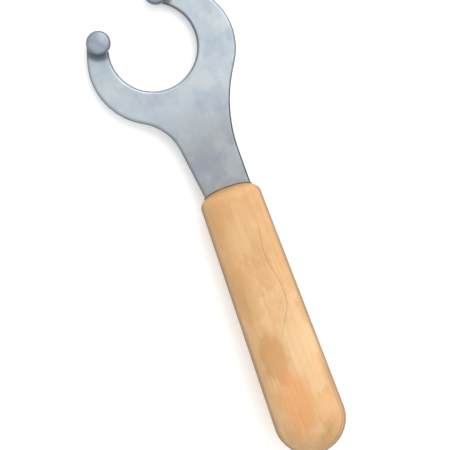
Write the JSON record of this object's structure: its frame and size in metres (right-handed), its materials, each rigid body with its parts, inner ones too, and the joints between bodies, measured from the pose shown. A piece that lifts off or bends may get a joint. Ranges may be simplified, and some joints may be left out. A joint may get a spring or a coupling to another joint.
{
  "type": "pin spanner",
  "caption": "Pin spanner with a flat steel head, an open round jaw, a round pin standing on each of its tips, and an oval wooden handle.",
  "frame": {"origin": "on the axis of the round jaw, halfway through the plate", "axes": "+X along the handle, from the butt towards the jaw; +Y to the left with the pins facing the viewer and the jaw pointing away; +Z out of the face that the pins stand on"},
  "size_m": [0.225, 0.0681, 0.024],
  "materials": {
    "head_steel": "satin blue-grey steel with rounded edges",
    "pin_steel": "darker hardened steel, satin",
    "handle_wood": "light fine-grained wood, sanded and oiled",
    "resin": "set brown bedding resin"
  },
  "bodies": {
    "root": {"spanner_head": "head_steel", "left_pin": "pin_steel", "right_pin": "pin_steel", "handle": "handle_wood", "tang_resin": "resin"}
  },
  "joints": []
}
